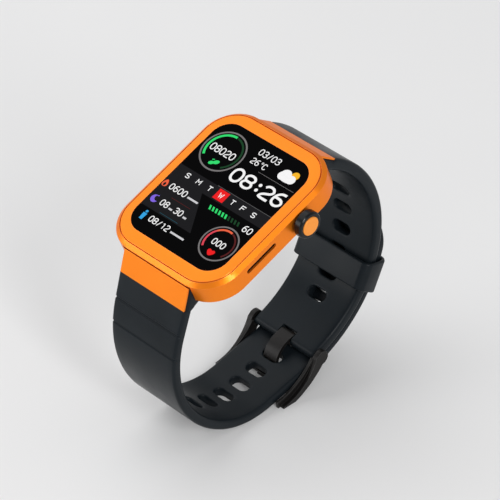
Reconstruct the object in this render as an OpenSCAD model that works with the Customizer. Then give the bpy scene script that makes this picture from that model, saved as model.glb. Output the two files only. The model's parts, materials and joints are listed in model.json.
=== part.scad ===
// Smart watch with a rectangular head on a two-piece silicone strap, done up on its pin buckle.
// Millimetres. +X points to three o'clock, +Y towards the twelve o'clock strap, +Z up.
// The watch stands on its closed strap loop, so the head leans back by head_tilt.
//
// Two working frames are used, both with their origin at the centre of the screen:
//   head frame: x to three o'clock, y to twelve o'clock, z out of the screen.
//   loop frame: the upright frame, in which strap outlines are drawn as (y, z) sections.

/* [Head] */
// Width of the head, nine to three o'clock
head_w = 37.2; // [36:0.2:40]
// Length of the head, six to twelve o'clock
head_l = 44.4; // [43:0.2:47]
// Corner radius of the head
head_r = 9.2; // [8.6:0.1:10]
// Width of the black screen
screen_w = 30; // [29:0.1:30.4]
// Length of the black screen
screen_l = 35.5; // [34.5:0.1:36]
// Corner radius of the screen
screen_r = 5; // [4.5:0.1:6]
// Depth of the metal side wall below the screen's plane
wall_depth = 6.4; // [6.2:0.1:7]
// Depth of the rear cover below the screen's plane
rear_depth = 8.8; // [8.7:0.1:9.4]
// Lean of the screen from level, in degrees
head_tilt = 21.5; // [20:0.5:23]

/* [Crown] */
// Radius of the crown's dark ring
crown_r = 3.4; // [2.6:0.1:3.5]
// Distance from the side wall to the crown's outer face
crown_reach = 3.1; // [2.5:0.1:3.2]
// Place of the crown above the middle of the head
crown_y = 6.9; // [5:0.1:8]
// Travel of the crown when it is pressed
crown_travel = 0.35; // [0.3:0.05:0.5]

/* [Strap] */
// Width of the strap at the head
strap_w = 22; // [21:0.5:22]
// Width of the buckle strap at its buckle
buckle_end_w = 20.6; // [20.4:0.2:21.4]
// Width of the hole strap from its lowest point to its tip
tail_w = 19.4; // [18:0.2:20]
// Thickness of the buckle strap
upper_t = 3; // [2.8:0.1:3.2]
// Thickness of the hole strap
lower_t = 2.5; // [2.3:0.1:2.6]
// Outer bend radius of the buckle strap
upper_r = 31.2; // [31:0.1:31.5]
// Outer bend radius of the hole strap beside the wrist
lower_r = 31; // [30.8:0.1:31.2]
// Outer bend radius of the hole strap under the wrist
under_r = 23; // [22.6:0.1:23.4]
// Width of each adjusting slot across the strap
slot_w = 5.6; // [5.2:0.1:6]
// Length of each adjusting slot along the strap
slot_l = 3.1; // [3:0.1:3.3]

/* [Closure] */
// Width of the keeper along the strap, as an angle of the bend
keeper_angle = 15; // [12:0.5:16]
// Place of the keeper's middle on the bend, in degrees below level
keeper_at = 25.7; // [25:0.1:30]
// Thickness of the keeper's wall
keeper_t = 1.05; // [1:0.05:1.2]
// Radius of the buckle's spring bar
bar_r = 0.75; // [0.7:0.05:0.8]
// Width of the buckle's tongue
tongue_w = 4.2; // [3.8:0.1:4.4]

/* [Hidden] */

$fn = 64;
eps = 0.01;

orange = "darkorange";
silicone = [0.19, 0.21, 0.22];
dark_metal = [0.16, 0.16, 0.17];

// ---- Head: heights in the head frame ----
seam_drop = 0.42;
seam_w = 0.2;
chamfer_w = 1.1;
chamfer_drop = 1.4;
seat_z = -1.3;
shelf_t = 0.7;
gasket_t = 0.2;
glass_t = 1;
wall_t = 2;
ledge = 1.2;
cavity_w = head_w - 2 * wall_t;
cavity_l = 34.4;
cavity_r = 5;
rear_inset = 0.8;
rear_lip = 0.6;
rear_chamfer = rear_depth - wall_depth - rear_lip;
rear_skin = 1.1;

// ---- Lug pockets and spring bars, in the head frame ----
pocket_w = strap_w + 0.3;
pocket_y = 18.2;
pocket_top = -1.75;
lug_y = 20;
lug_z = -4.9;
lug_bar_r = 0.9;
tip_r = 0.45;
fit = 0.05;

// ---- End plates: the outer face runs from plate_a to plate_b, both as (distance, z) ----
plate_a = [22.25, -2.3];
plate_b = [25.8, -7.1];
plate_t = 0.5;
plate_w = strap_w - 0.7;

// ---- Crown, in the head frame ----
crown_z = -4.1;
stem_r = 0.95;
bush_r = 1.5;
cap_r = crown_r - 1.05;
cap_proud = 0.25;
head_side = head_w / 2;

// ---- Places on the strap loop, in the loop frame ----
function rot2(p, a) = [p[0] * cos(a) - p[1] * sin(a), p[0] * sin(a) + p[1] * cos(a)];
function to_loop(p) = rot2(p, head_tilt);
function to_head(p) = rot2(p, -head_tilt);
function polar(c, r, a) = [c[0] + r * cos(a), c[1] + r * sin(a)];

// The buckle strap is one arc that leaves its end plate at upper_start degrees above level
upper_start = 63;
upper_c = polar(to_loop(plate_b), upper_r, upper_start + 180);
upper_in = upper_r - upper_t;
tail_gap = 0.1;
tail_in = upper_r + tail_gap;
tail_out = tail_in + lower_t;

// The hole strap leaves its end plate straight, then bends round side_c, under_c and upper_c
lower_start = 163.5;
lower_run = 7;
side_end = 240;
lift_angle = 284;
lower_b = to_loop([-plate_b[0], plate_b[1]]);
lower_dir = [cos(lower_start + 90), sin(lower_start + 90)];
side_start = lower_b + lower_run * lower_dir;
side_c = polar(side_start, lower_r, lower_start + 180);
under_c = polar(side_c, lower_r - under_r, side_end);
lift_out = [cos(lift_angle), sin(lift_angle)];
strap_floor = under_c[1] - under_r;
flat_cut = 0.15;
floor_z = strap_floor + flat_cut;
tip_angle = 3;
tip_r_plan = tail_w / 2;

// Width limits: each strap narrows evenly with height in the loop frame
upper_top_z = to_loop(plate_b)[1];
lower_top_z = lower_b[1];

// ---- Buckle, in the loop frame ----
bar_angle = -70.5;
bar_c = polar(upper_c, (upper_r + upper_in) / 2, bar_angle);
frame_t = 1.3;
frame_in = buckle_end_w / 2 + 0.3;
frame_out = frame_in + frame_t;
thick_in = tail_w / 2 + 0.4;
thick_t = frame_in + 0.2 - thick_in;
notch_w = tongue_w + 0.6;
notch_angle = -67.1;
eye_r = 1.9;

// Local places about the lifting stretch: s runs along the strap towards the bar and h runs
// outwards from the strap's inner face
lift_along = [-lift_out[1], lift_out[0]];
inner_foot = polar(upper_c, tail_in, lift_angle);
function lift(s, h) = inner_foot + s * lift_along + h * lift_out;
bar_s = (bar_c - inner_foot) * lift_along;
bar_h = (bar_c - inner_foot) * lift_out;
tongue_slot_s = -2.8;
// Angles of the slots in the bent tail, counted from where it bends
tail_slots = [6.6, 15.5, 25.4, 35.3, 45.2, 55.1];
cross_s = [-7, -5.2];
cross_h = [lower_t + 0.3, lower_t + 1.1];
rest_h = [cross_h[1] + 0.1, cross_h[1] + 0.7];

// ---- Whole object: the origin is the middle of the footprint of its bounding box ----
x_mid = crown_reach / 2;
y_low = side_c[0] - lower_r;
y_high = upper_c[0] + tail_out;
y_mid = (y_low + y_high) / 2;

module placed() {
    translate([-x_mid, -y_mid, -floor_z]) children();
}

module in_head() {
    placed() rotate([head_tilt, 0, 0]) children();
}

// Draws a (y, z) section of the loop frame and runs it across the strap, centred on x = 0
module across(width) {
    placed() rotate([90, 0, 90]) translate([0, 0, -width / 2]) linear_extrude(width) children();
}

// Flat rounded rectangle, centred
module rounded(w, l, r) {
    square([w - 2 * r, l], center = true);
    square([w, l - 2 * r], center = true);
    for (x = [-1, 1], y = [-1, 1])
        translate([x * (w / 2 - r), y * (l / 2 - r)]) circle(r);
}

module slab(w, l, r, z0, z1) {
    translate([0, 0, z0]) linear_extrude(z1 - z0) rounded(w, l, r);
}

// Runs a (distance from the outline, z) section round a rounded rectangle
module rim(w, l, r) {
    for (q = [0:3]) {
        sx = (q == 0 || q == 3) ? 1 : -1;
        sy = (q < 2) ? 1 : -1;
        translate([sx * (w / 2 - r), sy * (l / 2 - r), 0]) rotate([0, 0, 90 * q])
            rotate_extrude(angle = 90) translate([r, 0]) children();
    }
    for (s = [0, 180]) {
        rotate([0, 0, s]) translate([w / 2, l / 2 - r, 0]) rotate([90, 0, 0])
            linear_extrude(l - 2 * r) children();
        rotate([0, 0, s]) translate([-w / 2 + r, l / 2, 0]) rotate([90, 0, 90])
            linear_extrude(w - 2 * r) children();
    }
}

// Bar with round ends in the (y, z) plane, run along x
module pill(w, l, h) {
    linear_extrude(h) {
        square([w - l, l], center = true);
        for (s = [-1, 1]) translate([s * (w - l) / 2, 0]) circle(l / 2);
    }
}

// Straight shaft along x in the head frame
module shaft(r, x0, x1) {
    translate([x0, crown_y, crown_z]) rotate([0, 90, 0]) cylinder(r = r, h = x1 - x0);
}

// ---- Head ----

module mid_frame_section() {
    polygon([
        [-7, seat_z - shelf_t], [-wall_t, seat_z - shelf_t], [-wall_t, -wall_depth],
        [0, -wall_depth], [0, -chamfer_drop], [-chamfer_w + 0.05, -seam_drop],
        [-chamfer_w, -seam_drop - 0.05], [-chamfer_w, seat_z], [-7, seat_z]
    ]);
}

module pocket(side) {
    depth = head_l / 2 - pocket_y + 1;
    translate([0, side * (pocket_y + depth / 2), (pocket_top - rear_depth - 1) / 2])
        cube([pocket_w, depth, pocket_top + rear_depth + 1], center = true);
}

module lug_blocks() {
    for (side = [-1, 1])
        translate([0, side * (cavity_l / 2 + 1.7), (-wall_depth + seat_z - shelf_t) / 2])
            cube([28.6, 3.4, wall_depth + seat_z - shelf_t], center = true);
}

module mid_frame() {
    color(orange) in_head() difference() {
        union() {
            rim(head_w, head_l, head_r) mid_frame_section();
            lug_blocks();
        }
        slab(screen_w - 2 * ledge, screen_l - 2 * ledge, screen_r - ledge, -3, 0);
        for (side = [-1, 1]) {
            pocket(side);
            translate([-pocket_w / 2 - 1.3, side * lug_y, lug_z]) rotate([0, 90, 0])
                cylinder(r = tip_r + fit, h = pocket_w + 2.6);
        }
        shaft(bush_r, head_side - wall_t - 2, head_side + 1);
        speaker_slot(head_side - 3, 4);
        translate([head_side - wall_t - 1, slot_mid_y, slot_mid_z]) rotate([90, 0, 90])
            pill(mesh_w + 0.1, mesh_l + 0.1, 1.5);
    }
}

slot_mid_y = -6.3;
slot_mid_z = -3.3;
slot_mouth_w = 9.6;
slot_mouth_l = 1.25;
mesh_w = 10.6;
mesh_l = 2.1;

module speaker_slot(x0, depth) {
    translate([x0, slot_mid_y, slot_mid_z]) rotate([90, 0, 90])
        pill(slot_mouth_w, slot_mouth_l, depth);
}

module bezel_ring() {
    to_screen = (head_w - screen_w) / 2;
    color(orange) in_head() difference() {
        rim(head_w, head_l, head_r) polygon([
            [-chamfer_w - seam_w, seat_z], [-chamfer_w - seam_w, -seam_drop - 0.04],
            [-chamfer_w - seam_w - 0.08, -seam_drop + 0.04], [-to_screen, 0], [-7, 0], [-7, seat_z]
        ]);
        slab(screen_w, screen_l, screen_r, -3, 1);
    }
}

module cover_glass() {
    top = seat_z + gasket_t + glass_t;
    color([0.05, 0.05, 0.06]) in_head()
        slab(screen_w - 0.1, screen_l - 0.1, screen_r - 0.05, seat_z + gasket_t, top);
}

module display_gasket() {
    color("dimgray") in_head() difference() {
        slab(screen_w - 0.1, screen_l - 0.1, screen_r - 0.05, seat_z, seat_z + gasket_t);
        slab(screen_w - 2 * ledge + 0.4, screen_l - 2 * ledge + 0.4, screen_r - ledge, -3, 0);
    }
}

module display_panel() {
    color([0.1, 0.1, 0.12]) in_head()
        slab(screen_w - 2 * ledge - 0.2, screen_l - 2 * ledge - 0.2, screen_r - ledge - 0.1,
            seat_z - shelf_t, seat_z + gasket_t);
}

// Corners of the rear cover's screws
screw_at = [12.9, 14.3];
boss_r = 1.6;
screw_r = 0.6;
screw_head_r = 1.15;
board_top = -2.6;
board_t = 0.8;

module at_screws() {
    for (x = [-1, 1], y = [-1, 1]) translate([x * screw_at[0], y * screw_at[1], 0]) children();
}

module inner_chassis() {
    color([0.25, 0.27, 0.3]) in_head() difference() {
        union() {
            slab(cavity_w - 0.4, cavity_l - 0.4, cavity_r - 0.2, board_top, board_top + 0.5);
            at_screws() translate([0, 0, -wall_depth + 0.1])
                cylinder(r = boss_r, h = wall_depth + board_top - 0.1 + 0.2);
        }
        slab(16, 20, 2, board_top - 1, board_top + 1);
        at_screws() translate([0, 0, -wall_depth - 1]) cylinder(r = screw_r, h = wall_depth);
    }
}

module main_board() {
    color("darkgreen") in_head() difference() {
        translate([-15.4, -15.8, board_top - board_t]) cube([24.8, 31.6, board_t]);
        at_screws() translate([0, 0, -5]) cylinder(r = boss_r + 0.2, h = 5);
    }
}

module shield_can() {
    color("silver") in_head() difference() {
        translate([-0.6, -15.2, board_top - board_t - 1.4]) cube([9.6, 8, 1.4]);
        translate([-0.3, -14.9, board_top - board_t - 1.1]) cube([9, 7.4, 1.2]);
    }
}

module battery() {
    color([0.35, 0.36, 0.38]) in_head() {
        translate([-15, -6.4, -6.7]) cube([20.4, 19, 2.9]);
        translate([-8, 12.6, -5.8]) cube([6, 1.2, 1.2]);
    }
}

module vibration_motor() {
    color("silver") in_head() translate([-8, -11.6, -6.2]) {
        cylinder(r = 3.6, h = 2.6);
        translate([0, 0, 2.6]) cylinder(r = 2.2, h = 0.1);
    }
}

module speaker_box() {
    color([0.15, 0.15, 0.16]) in_head() difference() {
        translate([10.2, -12, -6.1]) cube([6.3, 11.4, 3.4]);
        translate([15.4, slot_mid_y, slot_mid_z]) rotate([90, 0, 90]) pill(9, 0.9, 2);
    }
}

module speaker_mesh() {
    color([0.08, 0.08, 0.08]) in_head() difference() {
        union() {
            translate([head_side - wall_t + 0.1, slot_mid_y, slot_mid_z]) rotate([90, 0, 90])
                pill(mesh_w, mesh_l, 0.35);
            translate([head_side - wall_t + 0.3, slot_mid_y, slot_mid_z]) rotate([90, 0, 90])
                pill(slot_mouth_w - 0.1, slot_mouth_l - 0.1, wall_t - 0.8);
        }
        for (i = [-5:5]) translate([head_side - wall_t - 1, slot_mid_y + i * 0.8, slot_mid_z])
            rotate([0, 90, 0]) cylinder(r = 0.22, h = 3, $fn = 24);
    }
}

module rear_cover() {
    w = head_w - 2 * rear_inset;
    l = head_l - 2 * rear_inset;
    r = head_r - rear_inset;
    color([0.12, 0.12, 0.13]) in_head() difference() {
        union() {
            rim(w, l, r) polygon([
                [-6.5, -wall_depth], [0, -wall_depth], [0, -wall_depth - rear_lip],
                [-rear_chamfer, -rear_depth], [-6.5, -rear_depth]
            ]);
            slab(w - 6, l - 6, r - 3, -rear_depth, -wall_depth);
        }
        slab(cavity_w - 2, cavity_l - 2, cavity_r - 1, -rear_depth + rear_skin, 0);
        translate([0, 0, -rear_depth - 1]) cylinder(r = 9.6, h = 5);
        for (side = [-1, 1]) pocket(side);
        difference() {
            slab(cavity_w - 0.4, cavity_l - 0.4, cavity_r - 0.2, -wall_depth - 0.5, 0);
            slab(cavity_w - 1.6, cavity_l - 1.6, cavity_r - 0.8, -wall_depth - 1, 1);
        }
        at_screws() translate([0, 0, -rear_depth - 1]) {
            cylinder(r = screw_r + 0.1, h = 5);
            cylinder(r = screw_head_r + 0.1, h = 1.6);
        }
        for (x = [-1, 1]) translate([x * contact_x, contact_y, -rear_depth - 1])
            cylinder(r = contact_r, h = 5);
    }
    color([0.12, 0.12, 0.13]) in_head() at_screws() difference() {
        translate([0, 0, -rear_depth + rear_skin]) cylinder(r = boss_r, h = 1.3);
        translate([0, 0, -rear_depth]) cylinder(r = screw_r + 0.1, h = 5);
    }
}

contact_x = 2.6;
contact_y = -14.6;
contact_r = 1.1;

module rear_gasket() {
    color("dimgray") in_head() difference() {
        slab(cavity_w - 0.5, cavity_l - 0.5, cavity_r - 0.25, -wall_depth - 0.5, -wall_depth);
        slab(cavity_w - 1.5, cavity_l - 1.5, cavity_r - 0.75, -wall_depth - 1, 0);
    }
}

module rear_screws() {
    color("silver") in_head() at_screws() {
        difference() {
            translate([0, 0, -rear_depth + 0.05]) cylinder(r = screw_head_r, h = 0.55);
            for (a = [0, 90]) rotate([0, 0, a]) translate([-0.8, -0.15, -rear_depth])
                cube([1.6, 0.3, 0.3]);
        }
        translate([0, 0, -rear_depth + 0.6]) cylinder(r = screw_r - 0.03, h = 4.4);
    }
}

module sensor_window() {
    color([0.05, 0.05, 0.07]) in_head() translate([0, 0, -rear_depth]) {
        cylinder(r = 9.5, h = rear_skin);
        translate([0, 0, -0.7]) cylinder(r = 11, h = 0.7);
        translate([0, 0, -1.2]) cylinder(r1 = 10.2, r2 = 11, h = 0.5);
    }
}

module sensor_board() {
    color("darkgreen") in_head() translate([0, 0, -rear_depth + rear_skin + 0.5])
        cylinder(r = 8.4, h = 0.4);
}

module optical_parts() {
    color("palegreen") in_head() translate([0, 0, -rear_depth + rear_skin + 0.05]) {
        translate([-0.9, -0.7, 0]) cube([1.8, 1.4, 0.45]);
        for (a = [0:90:270]) rotate([0, 0, a]) translate([4.2, -0.9, 0]) cube([2.2, 1.8, 0.45]);
    }
}

module charging_contacts() {
    color("gold") in_head() for (x = [-1, 1])
        translate([x * contact_x, contact_y, -rear_depth - 0.08])
            cylinder(r = contact_r, h = rear_skin + 0.08);
}

// ---- Crown: the slider moves in and out, and the stem, ring and cap also turn ----

bush_x0 = head_side - wall_t - 1.2;
bush_x1 = head_side + 0.2;
stem_end = head_side - 5.6;
ring_x0 = head_side + 0.25 + crown_travel;
ring_x1 = head_side + crown_reach - cap_proud;
clip_x = bush_x0 - 0.45;

module crown_bush() {
    color("silver") in_head() difference() {
        shaft(bush_r - 0.01, bush_x0, bush_x1);
        shaft(stem_r + fit, bush_x0 - 1, bush_x1 + 1);
    }
}

module crown_switch() {
    color([0.2, 0.2, 0.22]) in_head() {
        translate([9.6, crown_y - 2, crown_z - 1.4]) cube([1.6, 4, 2.8]);
        shaft(0.6, 11.1, stem_end - 0.8 - crown_travel - 0.05);
    }
}

module crown_slider() {
    color("ivory") in_head() difference() {
        shaft(1.25, stem_end - 0.8, stem_end + 0.8);
        shaft(stem_r + fit, stem_end, stem_end + 2);
    }
}

module crown_clip() {
    color("silver") in_head() difference() {
        shaft(1.4, clip_x, clip_x + 0.35);
        shaft(stem_r - 0.24, clip_x - 1, clip_x + 1);
        translate([clip_x - 1, crown_y - 0.6, crown_z - 3]) cube([3, 1.2, 3]);
    }
}

module crown_stem() {
    color("silver") in_head() difference() {
        shaft(stem_r, stem_end + 0.03, ring_x0 + 0.6);
        ring_groove(clip_x - 0.03, 0.41);
        ring_groove(head_side - 1.3, 0.7);
    }
}

// Ring-shaped cut in the stem, 0.25 deep
module ring_groove(x0, width) {
    difference() {
        shaft(stem_r + 1, x0, x0 + width);
        shaft(stem_r - 0.25, x0 - 1, x0 + width + 1);
    }
}

module crown_o_ring() {
    color([0.1, 0.1, 0.1]) in_head() difference() {
        shaft(stem_r + 0.03, head_side - 1.25, head_side - 0.65);
        shaft(stem_r - 0.24, head_side - 2, head_side);
    }
}

module crown_ring() {
    color([0.1, 0.11, 0.12]) in_head() difference() {
        union() {
            shaft_cone(crown_r - 0.35, crown_r, ring_x0, ring_x0 + 0.35);
            shaft(crown_r, ring_x0 + 0.35, ring_x1 - 0.35);
            shaft_cone(crown_r, crown_r - 0.35, ring_x1 - 0.35, ring_x1);
        }
        shaft(stem_r, ring_x0 - 1, ring_x0 + 0.6);
        shaft(cap_r + 0.02, ring_x1 - 0.6, ring_x1 + 1);
    }
}

module shaft_cone(r0, r1, x0, x1) {
    translate([x0, crown_y, crown_z]) rotate([0, 90, 0]) cylinder(r1 = r0, r2 = r1, h = x1 - x0);
}

module crown_cap() {
    face = head_side + crown_reach;
    color(orange) in_head() {
        shaft(cap_r, ring_x1 - 0.6, face - 0.15);
        shaft_cone(cap_r, cap_r - 0.15, face - 0.15, face);
    }
}

// ---- Lugs and end plates ----

module lug_bar(side) {
    color("silver") in_head() translate([0, side * lug_y, lug_z]) rotate([0, 90, 0]) {
        cylinder(r = lug_bar_r, h = strap_w - 0.6, center = true);
        cylinder(r = tip_r, h = pocket_w + 2.4, center = true);
        for (s = [-1, 1]) translate([0, 0, s * (strap_w / 2 - 0.15)])
            cylinder(r = 0.7, h = 0.4, center = true);
    }
}

module lug_bar_upper() {
    lug_bar(1);
}

module lug_bar_lower() {
    lug_bar(-1);
}

// Inner face of an end plate, as (distance, z)
plate_run = (plate_b - plate_a) / norm(plate_b - plate_a);
plate_in = [plate_run[1], -plate_run[0]];
plate_a_in = plate_a + plate_t * plate_in;
plate_b_in = plate_b + plate_t * plate_in;

module end_plate(side) {
    color(orange) in_head() rotate([90, 0, 90]) translate([0, 0, -plate_w / 2])
        linear_extrude(plate_w) polygon([for (p = [plate_a, plate_b, plate_b_in, plate_a_in])
            [side * p[0], p[1]]]);
}

module end_plate_upper() {
    end_plate(1);
}

module end_plate_lower() {
    end_plate(-1);
}

module lug_bore(side) {
    in_head() translate([0, side * lug_y, lug_z]) rotate([0, 90, 0])
        cylinder(r = lug_bar_r + 0.03, h = strap_w + 2, center = true);
}

// ---- Straps ----

// Points along an arc about c, about every three degrees
function arc_points(c, r, a0, a1) = let (n = ceil(abs(a1 - a0) / 3))
    [for (i = [0:n]) polar(c, r, a0 + (a1 - a0) * i / n)];

function reversed(list) = [for (i = [len(list) - 1:-1:0]) list[i]];

// Thick end of a strap in its lug pocket: its corners before and after the band, in the loop frame
function head_outer(side) = [for (p = [[18.5, -2.75], plate_a_in, plate_b_in])
    to_loop([side * p[0], p[1]])];
function head_inner(side, band_in) = [for (p = [[abs(band_in[0]) - 0.9, -8.5], [19.7, -8.5],
    [18.5, -7.3]]) to_loop([side * p[0], p[1]])];

// Centre line of a slot cut through a strap: its middle and the direction out of the strap
module slot_cut(middle, out_angle) {
    placed() rotate([90, 0, 90]) translate(middle) rotate([0, 0, out_angle])
        translate([-3, 0, 0]) rotate([90, 0, 90]) rotate([0, 0, 90]) pill(slot_w, slot_l, 6);
}

module bend_slot(c, r, a) {
    slot_cut(polar(c, r, a), a);
}

module straight_slot(s) {
    slot_cut(lift(s, lower_t / 2), lift_angle);
}

// Prism that is w_top wide at z_top and w_low wide at z_low, from y0 to y1 in the loop frame
module taper(w_top, z_top, w_low, z_low, y0, y1) {
    k = (w_top - w_low) / 2 / (z_top - z_low);
    reach = 12;
    z1 = z_top + reach;
    z0 = z_low - reach;
    x1 = w_top / 2;
    x0 = w_low / 2 - k * reach;
    placed() translate([0, y1, 0]) rotate([90, 0, 0]) linear_extrude(y1 - y0)
        polygon([[x0, z0], [x1, z_top], [x1, z1], [-x1, z1], [-x1, z_top], [-x0, z0]]);
}

module strap_upper() {
    inner = arc_points(upper_c, upper_in, bar_angle, upper_start);
    color(silicone) difference() {
        intersection() {
            across(strap_w) polygon(concat(
                head_outer(1),
                arc_points(upper_c, upper_r, upper_start, bar_angle),
                arc_points(bar_c, upper_t / 2, bar_angle - 15, bar_angle - 165),
                inner, head_inner(1, to_head(inner[len(inner) - 1]))
            ));
            taper(strap_w, upper_top_z, buckle_end_w, bar_c[1], -5, 60);
        }
        lug_bore(1);
        for (i = [0:5]) bend_slot(upper_c, upper_r - upper_t / 2, 15.5 - 12.2 * i);
        across(strap_w) translate(bar_c) circle(bar_r + 0.03);
        across(notch_w) polygon([
            polar(upper_c, upper_in - 2, notch_angle), polar(upper_c, upper_r + 2, notch_angle),
            polar(upper_c, upper_r + 2, bar_angle - 8), polar(upper_c, upper_in - 2, bar_angle - 8)
        ]);
    }
}

// The hole strap's outer face when depth is 0, and its inner face when depth is lower_t
function lower_path(depth) = concat(
    [polar(lower_b, -depth, lower_start)],
    arc_points(side_c, lower_r - depth, lower_start, side_end),
    arc_points(under_c, under_r - depth, side_end + 3, lift_angle),
    arc_points(upper_c, tail_out - depth, lift_angle, 360 + tip_angle)
);

module strap_lower() {
    inner = reversed(lower_path(lower_t));
    color(silicone) difference() {
        intersection() {
            across(strap_w) polygon(concat(
                head_outer(-1), lower_path(0), inner,
                head_inner(-1, to_head(inner[len(inner) - 1]))
            ));
            union() {
                taper(strap_w, lower_top_z, tail_w, strap_floor, -60, under_c[0]);
                placed() translate([-tail_w / 2, under_c[0] - eps, -80]) cube([tail_w, 80, 90]);
            }
        }
        lug_bore(-1);
        for (i = [0:3]) bend_slot(under_c, under_r - lower_t / 2, lift_angle - 3 - 14.9 * i);
        for (i = [0, 1]) straight_slot(tongue_slot_s - i * 5.7);
        for (a = tail_slots) bend_slot(upper_c, tail_out - lower_t / 2, lift_angle + a);
        groove(6.5);
        groove(12.6);
        tip_cut();
        placed() translate([-20, -60, floor_z - 5]) cube([40, 120, 5]);
    }
}

// Takes the corners off the hole strap's tip, which leaves it half round
module tip_cut() {
    edge = tip_r_plan + 2;
    placed() rotate([90, 0, 90]) translate(upper_c) rotate([0, 0, tip_straight])
        translate([tail_in - 4, 0, 0]) rotate([90, 0, 90]) linear_extrude(lower_t + 8)
        polygon(concat(
            [[0, -edge]], arc_points([0, 0], tip_r_plan, -90, 90), [[0, edge], [edge, edge],
            [edge, -edge]]
        ));
}

tip_straight = tip_angle - tip_r_plan / tail_out * 180 / PI;

// Fine groove across the outer face of the hole strap, run millimetres past its end plate
module groove(run) {
    a = lower_start + max(0, run - lower_run) / lower_r * 180 / PI;
    at = (run < lower_run) ? lower_b + run * lower_dir : polar(side_c, lower_r, a);
    placed() translate([0, at[0], at[1]]) rotate([a, 0, 0])
        cube([strap_w + 2, 0.5, 0.2], center = true);
}

// ---- Buckle ----

module buckle_bar() {
    color("silver") across(buckle_end_w - 0.2) translate(bar_c) circle(bar_r);
    color("silver") across(2 * frame_out - 0.4) translate(bar_c) circle(tip_r);
}

// Each arm lies between two arcs, with these centres in local places
arm_back_c = [-9.83, -10.03];
arm_back_r = 13.04;
arm_front_c = [-10.28, -17];
arm_front_r = 21.42;
thick_back_c = [-10.05, -15.09];
thick_back_r = 16.56;

// Side arm: an eye round the spring bar, and a foot that the floor plane cuts flat
module frame_side_outline() {
    translate(bar_c) circle(eye_r);
    neck = [bar_s - 1, bar_h - 1.6];
    back = arc_points(arm_back_c, arm_back_r, 33, 97);
    front = arc_points(arm_front_c, arm_front_r, 96, 46.8);
    polygon([for (p = concat([[bar_s, bar_h], neck], back, front)) lift(p[0], p[1])]);
}

// The arms are thicker where they only have the narrower hole strap between them
module frame_thick_outline() {
    back = arc_points(thick_back_c, thick_back_r, 49, 98);
    front = arc_points(arm_front_c, arm_front_r, 96, 52);
    round_nose = arc_points([bar_s, bar_h], upper_t / 2 + 0.12, 88, 200);
    polygon([for (p = concat(back, front, round_nose)) lift(p[0], p[1])]);
}

module buckle_frame() {
    color(dark_metal) difference() {
        union() {
            for (side = [-1, 1]) placed() rotate([90, 0, 90]) {
                translate([0, 0, side * (frame_in + frame_t / 2) - frame_t / 2])
                    linear_extrude(frame_t) frame_side_outline();
                translate([0, 0, side * (thick_in + thick_t / 2) - thick_t / 2])
                    linear_extrude(thick_t) frame_thick_outline();
            }
            across(2 * frame_in + 1) polygon([
                lift(cross_s[0], cross_h[0]), lift(cross_s[1], cross_h[0]),
                lift(cross_s[1], cross_h[1]), lift(cross_s[0], cross_h[1])
            ]);
        }
        across(2 * frame_out - 0.36) translate(bar_c) circle(tip_r + fit);
        placed() translate([-20, -60, floor_z - 5]) cube([40, 120, 5]);
    }
}

// The tongue arches inside the hole strap, drops through a slot and rests outside the crossbar
module buckle_tongue() {
    eye = bar_r + 0.8;
    bow_c = [1.6, 2.81];
    bow_r = 6.1;
    bow_in = bow_r - 1.05;
    tip_s = cross_s[0] - 0.1;
    bow = concat(
        [[bar_s, bar_h - eye + 0.02]], arc_points(bow_c, bow_r, -90, -156),
        [[tongue_slot_s - 1, rest_h[0]], [tip_s, rest_h[0]], [tip_s, rest_h[1]],
        [tongue_slot_s, rest_h[1]]],
        arc_points(bow_c, bow_in, -156, -90), [[bar_s, bar_h]]
    );
    color(dark_metal) difference() {
        union() {
            across(tongue_w) translate(bar_c) circle(eye);
            across(tongue_w) polygon([for (p = bow) lift(p[0], p[1])]);
        }
        across(tongue_w + 1) translate(bar_c) circle(bar_r + fit);
    }
}

// Half sections of the keeper, as (radius, half width): it draws in over the narrower hole strap
module keeper() {
    a0 = -keeper_at - keeper_angle / 2;
    half_in = 10.65;
    half_out = tail_w / 2 + 0.25;
    cavity = [[upper_in - 0.7, half_in], [upper_r + 0.05, half_in], [tail_out + 0.1, half_out]];
    skin = [for (p = cavity) [p[0] < upper_in ? p[0] - keeper_t : p[0], p[1] + keeper_t]];
    body = [skin[0], skin[1], [tail_out + 0.1 + keeper_t, half_out + keeper_t]];
    color(silicone) placed() rotate([90, 0, 90]) translate([upper_c[0], upper_c[1], 0])
        rotate([0, 0, a0]) rotate_extrude(angle = keeper_angle) difference() {
            polygon(both_sides(body));
            polygon(both_sides(cavity));
        }
}

function both_sides(points) = concat(points, [for (p = reversed(points)) [p[0], -p[1]]]);

mid_frame();
bezel_ring();
cover_glass();
display_panel();
display_gasket();
inner_chassis();
main_board();
shield_can();
battery();
vibration_motor();
speaker_box();
speaker_mesh();
rear_cover();
rear_gasket();
rear_screws();
sensor_window();
sensor_board();
optical_parts();
charging_contacts();
crown_bush();
crown_switch();
crown_slider();
crown_clip();
crown_stem();
crown_o_ring();
crown_ring();
crown_cap();
lug_bar_upper();
lug_bar_lower();
end_plate_upper();
end_plate_lower();
strap_upper();
strap_lower();
buckle_bar();
buckle_frame();
buckle_tongue();
keeper();
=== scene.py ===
"""A rectangular smart watch with an orange case, standing on its closed silicone strap.

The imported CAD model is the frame. This script adds what the CAD leaves plain: the rounded silicone
straps and keeper, the lit watch face, the materials, the floor, the lights and the camera.
Strap outlines are drawn in the loop frame: upright, in millimetres, with its origin at the screen's
centre, as (y, z) pairs. Head places are (x, y, z) in millimetres, with z out of the screen.
"""
import json
import math

import bmesh
import bpy
from mathutils import Matrix, Vector


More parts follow.
